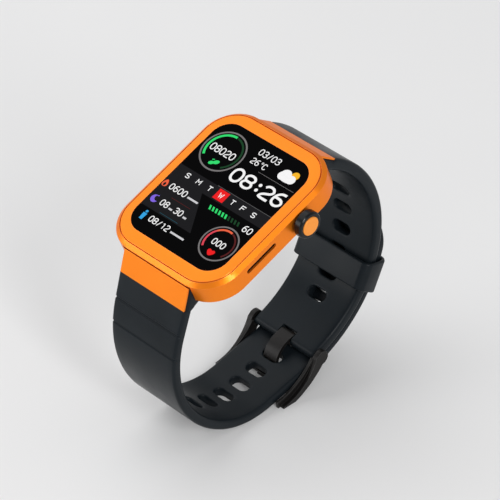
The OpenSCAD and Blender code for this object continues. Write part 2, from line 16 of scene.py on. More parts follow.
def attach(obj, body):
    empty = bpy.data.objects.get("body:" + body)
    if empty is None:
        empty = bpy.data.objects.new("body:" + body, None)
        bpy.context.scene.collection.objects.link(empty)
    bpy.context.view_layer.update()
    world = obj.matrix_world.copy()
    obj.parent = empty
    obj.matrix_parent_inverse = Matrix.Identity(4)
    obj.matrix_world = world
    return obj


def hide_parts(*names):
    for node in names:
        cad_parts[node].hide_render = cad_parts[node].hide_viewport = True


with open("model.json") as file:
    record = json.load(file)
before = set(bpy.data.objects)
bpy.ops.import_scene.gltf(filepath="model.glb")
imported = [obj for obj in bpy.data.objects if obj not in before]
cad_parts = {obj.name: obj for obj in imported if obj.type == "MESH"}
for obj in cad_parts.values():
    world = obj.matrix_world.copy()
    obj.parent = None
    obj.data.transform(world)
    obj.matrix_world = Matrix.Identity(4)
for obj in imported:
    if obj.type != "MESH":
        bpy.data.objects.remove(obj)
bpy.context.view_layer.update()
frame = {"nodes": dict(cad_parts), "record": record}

MM = 0.001
nodes = frame["nodes"]
mounts = {m["name"]: m for m in frame["record"]["mounts"]}

# ---- Frames of reference ----

BACK_DEPTH = 10    # from the screen's plane to the back face
back = mounts["back_face"]
back_normal = Vector(back["axis"]).normalized()
TILT = math.degrees(math.atan2(back_normal.y, -back_normal.z))
SCREEN = Vector(back["pos_m"]) - back_normal * BACK_DEPTH * MM
HEAD = Matrix.Translation(SCREEN) @ Matrix.Rotation(math.radians(TILT), 4, "X")


def head_point(x, y, z):
    return HEAD @ (Vector((x, y, z)) * MM)


def loop_point(x, y, z):
    return SCREEN + Vector((x, y, z)) * MM


def polar(c, r, a):
    return Vector((c[0] + r * math.cos(math.radians(a)), c[1] + r * math.sin(math.radians(a))))


def to_loop(p):
    return polar((0, 0), math.hypot(*p), math.degrees(math.atan2(p[1], p[0])) + TILT)


def to_head(p):
    return polar((0, 0), math.hypot(*p), math.degrees(math.atan2(p[1], p[0])) - TILT)


# ---- Sizes of the strap loop, as in the CAD: millimetres and degrees ----

STRAP_W = 22           # width at the head
BUCKLE_END_W = 20.6    # width of the buckle strap at its buckle
TAIL_W = 19.4          # width of the hole strap from its lowest point to its tip
UPPER_T = 3            # thickness of the buckle strap
LOWER_T = 2.5          # thickness of the hole strap
UPPER_R = 31.2         # outer bend of the buckle strap
LOWER_R = 31           # outer bend of the hole strap beside the wrist
UNDER_R = 23           # outer bend of the hole strap under the wrist
UPPER_START = 63       # where the buckle strap's bend begins
BAR_ANGLE = -70.5      # where it ends, at the buckle's spring bar
LOWER_START = 163.5    # outward direction of the hole strap where it leaves the head
LOWER_RUN = 7          # its straight run there
SIDE_END = 240         # where the bend beside the wrist ends
LIFT = 284             # where the bend under the wrist ends
TIP_ANGLE = 363        # where the tail's bend ends
TAIL_GAP = 0.1         # play between the two straps
SLOT_W = 5.6           # size of a slot across the strap
SLOT_L = 3.1           # size of a slot along the strap
TAIL_SLOTS = (6.6, 15.5, 25.4, 35.3, 45.2, 55.1)    # angles from the start of the tail's bend
UNDER_SLOT_FIRST = 3   # angle back from LIFT to the nearest slot of the bend under the wrist
UNDER_SLOT_STEP = 14.9
UNDER_SLOTS = 4
RUN_SLOTS = (2.8, 8.5)    # slots of the straight run, counted back from the tail's bend
UPPER_SLOT_FIRST = 15.5   # angle above level of the buckle strap's topmost slot
UPPER_SLOT_STEP = 12.2
UPPER_SLOTS = 6
GROOVE_RUNS = (6.5, 12.6)    # from the end plate to the hole strap's two grooves
NOTCH_ANGLE = -67.1    # inner end of the notch for the tongue
NOTCH_HALF_W = 2.4
HOLE_STRAP_EDGE = 0.75    # rounding of the long edges
BUCKLE_STRAP_EDGE = 0.9
PLATE_A = Vector((22.25, -2.3))    # an end plate's outer face, from the case to the strap
PLATE_B = Vector((25.8, -7.1))
PLATE_T = 0.5

plate_run = (PLATE_B - PLATE_A).normalized()
plate_in = Vector((plate_run.y, -plate_run.x)) * PLATE_T
upper_b = to_loop(PLATE_B)
upper_c = polar(upper_b, UPPER_R, UPPER_START + 180)
tail_out = UPPER_R + TAIL_GAP + LOWER_T
lower_b = to_loop((-PLATE_B.x, PLATE_B.y))
side_start = polar(lower_b, LOWER_RUN, LOWER_START + 90)
side_c = polar(side_start, LOWER_R, LOWER_START + 180)
under_c = polar(side_c, LOWER_R - UNDER_R, SIDE_END)
tail_start = polar(upper_c, tail_out, LIFT)
bar_c = polar(upper_c, UPPER_R - UPPER_T / 2, BAR_ANGLE)


# ---- Mesh helpers ----

def piece(name, bm, body, skin, sharp=35):
    """Finishes a bmesh as a smooth-shaded object that rides on a body."""
    bmesh.ops.remove_doubles(bm, verts=bm.verts, dist=2e-6)
    bmesh.ops.dissolve_degenerate(bm, edges=bm.edges, dist=1e-6)
    bmesh.ops.recalc_face_normals(bm, faces=bm.faces)
    mesh = bpy.data.meshes.new(name)
    bm.to_mesh(mesh)
    bm.free()
    for face in mesh.polygons:
        face.use_smooth = True
    mesh.set_sharp_from_angle(angle=math.radians(sharp))
    obj = bpy.data.objects.new(name, mesh)
    bpy.context.scene.collection.objects.link(obj)
    mesh.materials.append(skin)
    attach(obj, body)
    return obj


def span(a, b, step):
    """Evenly spaced values from a to b, no further apart than step."""
    n = max(1, math.ceil(abs(b - a) / step))
    return [a + (b - a) * i / n for i in range(n + 1)]


class Track:
    """A strap's section: its outer and inner line, both found by length along the middle."""

    def __init__(self, thick):
        self.thick = thick
        self.parts = []
        self.length = 0

    def add(self, length, pair_at):
        start = self.length
        self.parts.append((start, length, pair_at))
        self.length += length
        return start

    def arc(self, c, r, a0, a1):
        def pair_at(u):
            a = a0 + (a1 - a0) * u
            return polar(c, r, a), polar(c, r - self.thick, a)
        return self.add(math.radians(abs(a1 - a0)) * (r - self.thick / 2), pair_at)

    def line(self, p0, p1, a0, a1):
        def pair_at(u):
            p = p0.lerp(p1, u)
            return p, polar(p, -self.thick, a0 + (a1 - a0) * u)
        return self.add((p1 - p0).length, pair_at)

    def at(self, s):
        for start, length, pair_at in reversed(self.parts):
            if s >= start or start == 0:
                return pair_at(min(1, max(0, (s - start) / length)))


# Outer and inner edge of the band where it leaves its end plate: 1 is the buckle strap, -1 the hole strap
side_band = {
    1: (upper_b, polar(upper_b, -UPPER_T, UPPER_START)),
    -1: (lower_b, polar(lower_b, -LOWER_T, LOWER_START)),
}

# The part of a strap inside the head, as (distance from the screen's centre, height) in the head's frame
LUG_TOP = [(18.5, -2.75), (19.9, -2.75)]
LUG_FOOT_Z = -8.5
LUG_FOOT = [(18.5, -7.3), (19.7, LUG_FOOT_Z), (21.4, LUG_FOOT_Z)]
LUG_RUNS = (1.3, 1.6, 3.2, 1)    # lengths of its four stretches
FOOT_SETBACK = 0.9     # from the foot's last place to the band's inner edge
PLATE_SETBACK = 0.2    # from the last place under the end plate to the plate's end


def lug_end(track, side):
    """The thick end of a strap in its lug pocket, from deep in the pocket to the end plate's foot."""
    outer, inner = side_band[side]
    foot = (abs(to_head(inner).x) - FOOT_SETBACK, LUG_FOOT_Z)
    out = LUG_TOP + [PLATE_A + plate_in, PLATE_B + plate_in - plate_run * PLATE_SETBACK]
    low = LUG_FOOT + [foot]
    out = [to_loop((side * p[0], p[1])) for p in out] + [outer]
    low = [to_loop((side * p[0], p[1])) for p in low] + [inner]
    for i, run in enumerate(LUG_RUNS):
        track.add(run, lambda u, i=i: (out[i].lerp(out[i + 1], u), low[i].lerp(low[i + 1], u)))
    return track.length


# ---- Strap mesh: a grid of rows and columns, with a finer patch round each slot ----

SLOT_HALF_X = 4.0      # half width of the patch of mesh round a slot
SLOT_HALF_S = 2.3      # half length of that patch
SLOT_COLS = 10
SLOT_ROWS = 8
EDGE_COLS = 4          # columns from such a patch to the strap's edge
EDGE_STEP = 18         # angle between the rows round a long edge
ROW_STEP = 0.7         # greatest length of a row of faces
RIM = 0.35             # rounding of a slot's rim
GROOVE_HALF = 0.42     # half width of a groove at the surface
GROOVE_FLOOR = 0.18    # half width of its floor
GROOVE_DEPTH = 0.28


class StrapMesh:
    """Builds a strap flat, in (length, across, height), and bends it along its track."""

    def __init__(self, track, half_width, edge, slots, tip_r=None, nose=False, notch=None, grooves=()):
        self.track = track
        self.half_width = half_width
        self.edge = edge
        self.slots = slots
        self.tip_r = tip_r
        self.nose = nose
        self.notch = notch
        self.grooves = grooves
        self.t = track.thick
        self.end = track.length
        self.bm = bmesh.new()
        self.verts = {}
        self.tip_s = self.end - tip_r if tip_r else self.end
        self.last_patch = max(slots) + SLOT_HALF_S
        self.onward = self.end_direction()
        rows = self.stations()
        rings = [self.ring(s) for s in rows]
        for s0, s1, a, b in zip(rows, rows[1:], rings, rings[1:]):
            self.band(0.5 * (s0 + s1), a, b)
        for s in slots:
            self.slot(s)
        self.bm.faces.new(self.unique([self.vert(*p) for p in sum(rings[0], [])]))
        if notch:
            self.notch_end()

    def end_direction(self):
        """The direction in which the strap runs where its track ends."""
        outer, inner = self.track.at(self.end)
        through = (outer - inner).normalized()
        onward = Vector((through.y, -through.x))
        before = self.track.at(self.end - 0.1)[0]
        return -onward if onward.dot(outer - before) < 0 else onward

    def stations(self):
        """Every length along the strap that gets a row of vertices."""
        marks = {0.0, self.tip_s} | {start for start, _, _ in self.track.parts}
        for s in self.slots:
            marks |= {s + SLOT_HALF_S * (2 * i / SLOT_ROWS - 1) for i in range(SLOT_ROWS + 1)}
        for s in self.grooves:
            for d in (0, GROOVE_FLOOR, (GROOVE_FLOOR + GROOVE_HALF) / 2, GROOVE_HALF):
                marks |= {s - d, s + d}
        if self.notch:
            marks.add(self.notch[0])
        if self.tip_r:
            r = self.tip_r - self.edge
            first = math.degrees(math.acos(max(0, self.last_patch - self.tip_s) / r))
            marks |= {self.tip_s + r * math.cos(math.radians(a)) for a in span(first, 0, 6)}
        marks = sorted(marks)
        merged = [m for i, m in enumerate(marks) if i == 0 or m - marks[i - 1] > 1e-6]
        rows = [merged[0]]
        for m in merged[1:]:
            rows += span(rows[-1], m, ROW_STEP)[1:]
        if self.nose:
            rows += [self.end + self.t / 2 * math.sin(math.radians(a)) for a in (15, 30, 45, 60, 75, 90)]
        return rows

    def outline(self, s):
        """Half width of the flat part at s, and the outline's outward direction there."""
        if self.tip_r and s > self.tip_s:
            r = self.tip_r - self.edge
            c = min(1, (s - self.tip_s) / r)
            return r * math.sqrt(1 - c * c), c, math.sqrt(1 - c * c)
        return self.half_width(self.track.at(min(s, self.end))) - self.edge, 0, 1

    def columns(self, s):
        """Where the flat part's columns of vertices lie across the strap at s."""
        half = self.outline(s)[0]
        mid = SLOT_HALF_X
        if self.tip_r and s > self.last_patch + 1e-6:
            mid *= half / self.outline(self.last_patch)[0]
        inner = [mid * (2 * i / SLOT_COLS - 1) for i in range(SLOT_COLS + 1)]
        side = [mid + (half - mid) * i / EDGE_COLS for i in range(EDGE_COLS + 1)]
        return [-x for x in reversed(side)][:-1] + inner + side[1:]

    def ring(self, s):
        """One section, as four lists of (length, across, height): top, right edge, bottom, left edge."""
        half, ns, nx = self.outline(s)
        cols = self.columns(s)
        drop = [(self.edge * math.sin(math.radians(a)), self.edge * (1 - math.cos(math.radians(a))))
                for a in span(0, 90, EDGE_STEP)[1:]]
        heights = [(o, self.t - h) for o, h in drop] + [(o, h) for o, h in reversed(drop)]
        top = [(s, x, self.t) for x in cols]
        right = [(s + ns * o, half + nx * o, h) for o, h in heights]
        bottom = [(s, x, 0) for x in reversed(cols)]
        left = [(s + ns * o, -half - nx * o, h) for o, h in reversed(heights)]
        return [top, right, bottom, left]

    def groove_depth(self, s):
        off = min([GROOVE_HALF] + [abs(s - g) for g in self.grooves])
        return GROOVE_DEPTH * min(1, (GROOVE_HALF - off) / (GROOVE_HALF - GROOVE_FLOOR))

    def vert(self, s, x, h):
        """The vertex of one flat place, bent along the track. It is made once and then found again."""
        key = (round(s, 5), round(x, 5), round(h, 5))
        if key not in self.verts:
            outer, inner = self.track.at(min(s, self.end))
            if h > self.t / 2:
                h -= self.groove_depth(s)
            beyond = max(0, s - self.end)
            if self.nose:
                h = self.t / 2 + (h - self.t / 2) * math.sqrt(max(0, 1 - (2 * beyond / self.t) ** 2))
            p = inner.lerp(outer, h / self.t) + self.onward * beyond
            self.verts[key] = self.bm.verts.new(loop_point(x, p.x, p.y))
        return self.verts[key]

    @staticmethod
    def unique(verts):
        return [v for i, v in enumerate(verts) if v not in verts[:i]]

    def face(self, *points):
        verts = self.unique([self.vert(*p) for p in points])
        if len(verts) > 2 and not self.bm.faces.get(verts):
            self.bm.faces.new(verts)

    def open_at(self, s, x):
        """Whether the plain grid leaves this spot to a slot's patch or to the notch."""
        if abs(x) < SLOT_HALF_X and any(abs(s - c) < SLOT_HALF_S for c in self.slots):
            return True
        return bool(self.notch) and s > self.notch[0] and abs(x) < self.notch[1]

    def band(self, s, a, b):
        """The faces between two neighbouring sections whose middle is at s."""
        for side in range(4):
            for p, q, r, t in zip(a[side], a[side][1:], b[side][1:], b[side]):
                if side % 2 or not self.open_at(s, 0.5 * (p[1] + q[1])):
                    self.face(p, q, r, t)
        for side in range(4):
            after = (side + 1) % 4
            self.face(a[side][-1], a[after][0], b[after][0], b[side][-1])
        if self.notch and s > self.notch[0]:
            for x in (-self.notch[1], self.notch[1]):
                self.face((a[0][0][0], x, self.t), (b[0][0][0], x, self.t),
                          (b[0][0][0], x, 0), (a[0][0][0], x, 0))

    def notch_end(self):
        s, half = self.notch
        xs = [x for x in self.columns(s) if abs(x) < half + 1e-6]
        for x0, x1 in zip(xs, xs[1:]):
            self.face((s, x0, self.t), (s, x1, self.t), (s, x1, 0), (s, x0, 0))

    def slot(self, s):
        """A through slot with rounded rims, and the patch of mesh round it on both faces."""
        ends = [SLOT_HALF_X * (2 * i / SLOT_COLS - 1) for i in range(SLOT_COLS)]
        sides = [SLOT_HALF_S * (2 * i / SLOT_ROWS - 1) for i in range(SLOT_ROWS)]
        border = [(-SLOT_HALF_S, x) for x in ends] + [(d, SLOT_HALF_X) for d in sides]
        border += [(SLOT_HALF_S, -x) for x in ends] + [(-d, -SLOT_HALF_X) for d in sides]
        straight = (SLOT_W - SLOT_L) / 2

        def pill(p, r):
            c = Vector((0, max(-straight, min(straight, p[1]))))
            return c + (Vector(p) - c).normalized() * r

        turns = [math.radians(a) for a in span(0, 90, 30)]
        profile = [(RIM * (1 - math.sin(a)), RIM * (1 - math.cos(a))) for a in turns]
        last = {}
        for top in (True, False):
            rings = [[Vector(p) for p in border]]
            rings.append([Vector(p).lerp(pill(p, SLOT_L / 2 + RIM), 0.5) for p in border])
            rings += [[pill(p, SLOT_L / 2 + out) for p in border] for out, _ in profile]
            drops = [0, 0] + [drop for _, drop in profile]
            rows = [[(s + p[0], p[1], self.t - drop if top else drop) for p in ring]
                    for ring, drop in zip(rings, drops)]
            for a, b in zip(rows, rows[1:]):
                self.loop(a, b)
            last[top] = rows[-1]
        self.loop(last[True], last[False])

    def loop(self, a, b):
        for i in range(len(a)):
            j = (i + 1) % len(a)
            self.face(a[i], a[j], b[j], b[i])


# ---- Materials ----

WORN_REACH = 0.25 * MM       # how near to an edge a surface is rubbed
WORN_BEND = (0.99, 0.90)     # how far the rounded normal agrees with the face's: untouched, fully rubbed
WORN_TONE = 0.8              # grey level that a rubbed edge tends to
WORN_PATCHES = 12            # how much finer the patches of wear are than the drift in colour


def worn_edges(tree, patches):
    """How far a spot is rubbed: 1 on a sharp edge inside a patch, 0 on flat faces."""
    rounded = tree.nodes.new("ShaderNodeBevel")
    rounded.samples = 6
    rounded.inputs["Radius"].default_value = WORN_REACH
    plain = tree.nodes.new("ShaderNodeNewGeometry")
    agree = tree.nodes.new("ShaderNodeVectorMath")
    agree.operation = "DOT_PRODUCT"
    tree.links.new(rounded.outputs["Normal"], agree.inputs[0])
    tree.links.new(plain.outputs["Normal"], agree.inputs[1])
    edge = tree.nodes.new("ShaderNodeMapRange")
    edge.inputs["From Min"].default_value = WORN_BEND[0]
    edge.inputs["From Max"].default_value = WORN_BEND[1]
    tree.links.new(agree.outputs["Value"], edge.inputs["Value"])
    both = tree.nodes.new("ShaderNodeMath")
    both.operation = "MULTIPLY"
    tree.links.new(edge.outputs["Result"], both.inputs[0])
    tree.links.new(patches, both.inputs[1])
    return both.outputs["Value"]


def material(name, colour, rough, metal=0.0, grain=900.0, vary=0.12, bump=0.00001, spots=0.06,
             coat=0.0, specular=0.5, tint=(1, 1, 1), clouds=60.0, wear=0.0):
    """Moulded or coated surface: fine grain, slow drift in colour and gloss, and edges rubbed lighter."""
    m = bpy.data.materials.new(name)
    m.use_nodes = True
    tree = m.node_tree
    shader = tree.nodes["Principled BSDF"]
    place = tree.nodes.new("ShaderNodeTexCoord")

    def noise(scale, detail):
        n = tree.nodes.new("ShaderNodeTexNoise")
        n.inputs["Scale"].default_value = scale
        n.inputs["Detail"].default_value = detail
        tree.links.new(place.outputs["Object"], n.inputs["Vector"])
        return n.outputs["Fac"]

    def remap(source, low, high):
        r = tree.nodes.new("ShaderNodeMapRange")
        r.inputs["From Min"].default_value = 0.3
        r.inputs["From Max"].default_value = 0.7
        r.inputs["To Min"].default_value = low
        r.inputs["To Max"].default_value = high
        tree.links.new(source, r.inputs["Value"])
        return r.outputs["Result"]

    drift = noise(clouds, 3)
    fine = noise(grain, 2)
    mix = tree.nodes.new("ShaderNodeMix")
    mix.data_type = "RGBA"
    mix.inputs["A"].default_value = [c * (1 - vary) for c in colour] + [1]
    mix.inputs["B"].default_value = [min(1, c * (1 + vary)) for c in colour] + [1]
    tree.links.new(remap(drift, 0, 1), mix.inputs["Factor"])
    surface = mix.outputs["Result"]
    if wear:
        rubbed = tree.nodes.new("ShaderNodeMix")
        rubbed.data_type = "RGBA"
        rubbed.inputs["B"].default_value = [c + (WORN_TONE - c) * wear for c in colour] + [1]
        tree.links.new(worn_edges(tree, noise(clouds * WORN_PATCHES, 4)), rubbed.inputs["Factor"])
        tree.links.new(surface, rubbed.inputs["A"])
        surface = rubbed.outputs["Result"]
    tree.links.new(surface, shader.inputs["Base Color"])
    tree.links.new(remap(drift, rough - spots, rough + spots), shader.inputs["Roughness"])
    relief = tree.nodes.new("ShaderNodeBump")
    relief.inputs["Distance"].default_value = bump
    relief.inputs["Strength"].default_value = 1
    tree.links.new(fine, relief.inputs["Height"])
    tree.links.new(relief.outputs["Normal"], shader.inputs["Normal"])
    shader.inputs["Metallic"].default_value = metal
    shader.inputs["Specular IOR Level"].default_value = specular
    shader.inputs["Coat Weight"].default_value = coat
    shader.inputs["Coat Roughness"].default_value = 0.2
    shader.inputs["Specular Tint"].default_value = tint + (1,)
    return m


def glow(name, colour):
    """A lit part of the display, under the gloss of the cover glass."""
    m = bpy.data.materials.new(name)
    m.use_nodes = True
    tree = m.node_tree
    shader = tree.nodes["Principled BSDF"]
    place = tree.nodes.new("ShaderNodeTexCoord")
    dots = tree.nodes.new("ShaderNodeTexNoise")
    dots.inputs["Scale"].default_value = 2500
    shade = tree.nodes.new("ShaderNodeMix")
    shade.data_type = "RGBA"
    shade.inputs["A"].default_value = [c * 0.93 for c in colour] + [1]
    shade.inputs["B"].default_value = [min(1, c * 1.05) for c in colour] + [1]
    tree.links.new(place.outputs["Object"], dots.inputs["Vector"])
    tree.links.new(dots.outputs["Fac"], shade.inputs["Factor"])
    tree.links.new(shade.outputs["Result"], shader.inputs["Emission Color"])
    shader.inputs["Base Color"].default_value = (0.002, 0.002, 0.0025, 1)
    shader.inputs["Specular IOR Level"].default_value = 0.03
    shader.inputs["Emission Strength"].default_value = 1
    shader.inputs["Roughness"].default_value = 0.12
    return m


ORANGE = (0.95, 0.235, 0.008)
orange = material("orange_anodised", ORANGE, 0.37, metal=0.66, grain=5200, vary=0.03, bump=0.000003,
                  spots=0.04, coat=0.24, specular=0.3, tint=(1.0, 0.50, 0.15), wear=0.14)
cap_orange = material("cap_orange", (1.0, 0.33, 0.04), 0.40, metal=0.35, grain=4200, vary=0.05,
                      bump=0.000004, specular=0.4, wear=0.14)
silicone = material("slate_silicone", (0.0082, 0.0115, 0.0145), 0.36, grain=6500, vary=0.12, bump=0.000006,
                    spots=0.06, specular=0.12, clouds=110)
black_glass = material("black_glass", (0.0006, 0.0006, 0.0008), 0.09, grain=400, vary=0.05, bump=0,
                       spots=0.02, specular=0.015, clouds=120)
buckle_black = material("buckle_black", (0.0085, 0.0075, 0.0070), 0.42, metal=0.2, grain=7000, vary=0.2,
                        bump=0.000006, spots=0.10, specular=0.28, wear=0.08)
crown_black = material("crown_black", (0.004, 0.005, 0.006), 0.22, grain=4000, bump=0.000002, specular=0.22)
slot_black = material("slot_black", (0.003, 0.003, 0.003), 0.6, grain=6000, specular=0.1)
steel = material("brushed_steel", (0.55, 0.55, 0.54), 0.32, metal=1.0, grain=9000, bump=0.000003)
back_black = material("back_moulding", (0.018, 0.018, 0.020), 0.45, grain=7000, bump=0.000006)
lens = material("sensor_lens", (0.006, 0.006, 0.009), 0.08, grain=500, bump=0, spots=0.02, coat=0.4)
gold = material("gold_plate", (0.80, 0.52, 0.18), 0.25, metal=1.0, grain=5000, bump=0.000002)
board_green = material("solder_mask", (0.02, 0.12, 0.05), 0.4, grain=3000, vary=0.25)
foil = material("battery_foil", (0.42, 0.43, 0.45), 0.4, metal=0.9, grain=1500, bump=0.00003)
moulding = material("dark_moulding", (0.05, 0.055, 0.06), 0.5, grain=6000)
nylon = material("nylon", (0.70, 0.67, 0.58), 0.45, grain=4000)
optics = material("clear_optics", (0.35, 0.60, 0.45), 0.15, grain=2000, coat=0.3)

NODE_MATERIALS = {
    orange: ["mid_frame", "bezel_ring", "end_plate_upper", "end_plate_lower"],
    cap_orange: ["crown_cap"],
    black_glass: ["cover_glass", "display_panel"],
    buckle_black: ["buckle_frame", "buckle_tongue"],
    crown_black: ["crown_ring"],
    steel: ["rear_screws", "shield_can", "vibration_motor", "crown_bush", "crown_clip", "crown_stem",
            "lug_bar_upper", "lug_bar_lower", "buckle_bar"],
    back_black: ["rear_cover"],
    lens: ["sensor_window"],
    gold: ["charging_contacts"],
    board_green: ["main_board", "sensor_board"],
    foil: ["battery"],
    moulding: ["inner_chassis", "speaker_box", "crown_switch", "display_gasket", "rear_gasket",
               "crown_o_ring"],
    slot_black: ["speaker_mesh"],
    nylon: ["crown_slider"],
    optics: ["optical_parts"],
    silicone: ["strap_upper", "strap_lower", "keeper"],
}
for m, names in NODE_MATERIALS.items():
    for name in names:
        nodes[name].data.materials.clear()
        nodes[name].data.materials.append(m)


def soften(name, width):
    """Rounds a CAD node's crisp edges by a real edge break, without moving its faces."""
    obj = nodes[name]
    weld = obj.modifiers.new("weld", "WELD")
    weld.merge_threshold = 1e-6
    flat = obj.modifiers.new("whole_faces", "DECIMATE")
    flat.decimate_type = "DISSOLVE"
    flat.angle_limit = math.radians(0.8)
    bevel = obj.modifiers.new("edge_break", "BEVEL")
    bevel.width = width * MM
    bevel.segments = 3
    bevel.limit_method = "ANGLE"
    bevel.angle_limit = math.radians(28)
    bevel.use_clamp_overlap = True
    normals = obj.modifiers.new("even_normals", "WEIGHTED_NORMAL")
    normals.keep_sharp = False


EDGE_BREAKS = {
    "mid_frame": 0.10, "bezel_ring": 0.10, "end_plate_upper": 0.12, "end_plate_lower": 0.12,
    "crown_cap": 0.08, "crown_ring": 0.10, "buckle_frame": 0.22, "buckle_tongue": 0.20, "rear_cover": 0.12,
}
for name, width in EDGE_BREAKS.items():
    soften(name, width)


# ---- Straps and keeper ----

def tapered(top_z, top_w, low_z, low_w, flat_after=None):
    """Half width of a strap that narrows evenly with height, and stays narrow after y = flat_after."""
    def half(pair):
        p = (pair[0] + pair[1]) / 2
        share = min(1, max(0, (top_z - p.y) / (top_z - low_z)))
        if flat_after is not None and p.x > flat_after:
            share = 1
        return (top_w + (low_w - top_w) * share) / 2
    return half


def hole_strap():
    """The strap with the adjusting slots, from the head's lower side round to its free tip."""
    track = Track(LOWER_T)
    band = lug_end(track, -1)
    track.line(lower_b, side_start, LOWER_START, LOWER_START)
    track.arc(side_c, LOWER_R, LOWER_START, SIDE_END)
    under = track.arc(under_c, UNDER_R, SIDE_END, LIFT)
    mid_r = UNDER_R - LOWER_T / 2
    track.line(polar(under_c, UNDER_R, LIFT), tail_start, LIFT, LIFT)
    tail = track.arc(upper_c, tail_out, LIFT, TIP_ANGLE)
    slots = [under + math.radians(LIFT - UNDER_SLOT_FIRST - UNDER_SLOT_STEP * i - SIDE_END) * mid_r
             for i in range(UNDER_SLOTS)]
    slots += [tail - back for back in RUN_SLOTS]
    slots += [tail + math.radians(a) * (tail_out - LOWER_T / 2) for a in TAIL_SLOTS]
    half = tapered(lower_b.y, STRAP_W, under_c.y - UNDER_R, TAIL_W, under_c.x)
    mesh = StrapMesh(track, half, HOLE_STRAP_EDGE, sorted(slots), tip_r=TAIL_W / 2,
                     grooves=[band + run for run in GROOVE_RUNS])
    obj = piece("hole_strap", mesh.bm, "watch", silicone)
    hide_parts("strap_lower")


def buckle_strap():
    """The strap that holds the buckle, from the head's upper side down to the spring bar."""
    track = Track(UPPER_T)
    lug_end(track, 1)
    arc = track.arc(upper_c, UPPER_R, UPPER_START, BAR_ANGLE)
    mid_r = UPPER_R - UPPER_T / 2
    slots = [arc + math.radians(UPPER_START - UPPER_SLOT_FIRST + UPPER_SLOT_STEP * i) * mid_r
             for i in range(UPPER_SLOTS)]
    half = tapered(upper_b.y, STRAP_W, bar_c.y, BUCKLE_END_W)
    notch = arc + math.radians(UPPER_START - NOTCH_ANGLE) * mid_r
    mesh = StrapMesh(track, half, BUCKLE_STRAP_EDGE, slots, nose=True, notch=(notch, NOTCH_HALF_W))
    obj = piece("buckle_strap", mesh.bm, "watch", silicone)
    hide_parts("strap_upper")


KEEPER_AT = 25.7        # angle below level of the keeper's middle, on the straps' bend
KEEPER_ANGLE = 15       # angle that it covers
KEEPER_T = 1.05
KEEPER_HALF_W = 10.65
KEEPER_CORNER = 1.1     # bend at its four corners
KEEPER_EDGE = 0.45      # rounding of its rims
KEEPER_INNER_GAP = 0.7  # from its inner line to the inside of the straps
KEEPER_OUTER_GAP = 0.1
KEEPER_DRAW_IN = 0.06   # share by which the keeper narrows over the thinner hole strap


def round_corners(half_a, half_b, r, step):
    """A rounded rectangle about the origin: the corner's centre and the angle of each of its points."""
    turns = []
    for a_side, b_side, start in ((1, 1, 0), (-1, 1, 90), (-1, -1, 180), (1, -1, 270)):
        c = Vector((a_side * (half_a - r), b_side * (half_b - r)))
        turns += [(c, start + a) for a in span(0, 90, step)]
    return turns


def strap_keeper():
    """A flat band bent round both straps: a rounded strip carried round a rounded rectangle."""
    r_in = UPPER_R - UPPER_T - KEEPER_INNER_GAP
    r_out = tail_out + KEEPER_OUTER_GAP
    mid_r = (r_in + r_out) / 2
    half_l = math.radians(KEEPER_ANGLE / 2) * mid_r
    path = [(polar(c, KEEPER_CORNER, a), polar((0, 0), 1, a))
            for c, a in round_corners(KEEPER_HALF_W, (r_out - r_in) / 2, KEEPER_CORNER, 11.25)]
    strip = [polar(c, KEEPER_EDGE, a) + Vector((0, KEEPER_T / 2))
             for c, a in round_corners(half_l, KEEPER_T / 2, KEEPER_EDGE, 22.5)]
    bm = bmesh.new()
    rings = []
    for p, n in path:
        ring = []
        for u, v in strip:
            q = p + n * v
            y, z = polar(upper_c, mid_r + q.y, -KEEPER_AT + math.degrees(u / mid_r))
            draw_in = max(0, mid_r + q.y - UPPER_R) / (r_out - UPPER_R)
            ring.append(bm.verts.new(loop_point(q.x * (1 - KEEPER_DRAW_IN * draw_in), y, z)))
        rings.append(ring)
    for a, b in zip(rings, rings[1:] + rings[:1]):
        for i in range(len(strip)):
            j = (i + 1) % len(strip)
            bm.faces.new((a[i], a[j], b[j], b[i]))
    obj = piece("strap_keeper", bm, "keeper", silicone, sharp=60)
    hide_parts("keeper")


hole_strap()
buckle_strap()
strap_keeper()

# ---- Lit watch face: flat shapes on the display, in the screen's own millimetres ----

GLASS_TOP = -0.1    # height of the drawing's lowest layer
LAYER = 0.012       # height from one layer to the next
STROKE = 0.9        # share of its stated weight that a character's stroke is drawn with

white = glow("lit_white", (0.92, 0.92, 0.92))
soft_white = glow("lit_grey", (0.62, 0.62, 0.64))
ring_grey = glow("lit_ring", (0.19, 0.18, 0.18))
line_grey = glow("lit_line", (0.12, 0.12, 0.12))
band_grey = glow("lit_band", (0.007, 0.007, 0.008))
green = glow("lit_green", (0.03, 0.72, 0.16))
dim_green = glow("lit_dim_green", (0.006, 0.05, 0.015))
red = glow("lit_red", (0.85, 0.01, 0.012))
dim_red = glow("lit_dim_red", (0.09, 0.01, 0.01))
coral = glow("lit_coral", (0.85, 0.12, 0.05))
pink = glow("lit_pink", (0.72, 0.06, 0.09))
violet = glow("lit_violet", (0.22, 0.13, 0.75))
blue = glow("lit_blue", (0.03, 0.36, 0.75))
sun_yellow = glow("lit_sun", (0.95, 0.48, 0.02))

CELL_H = 1.3
SHARP = "MTWF/"     # characters whose corners stay sharp

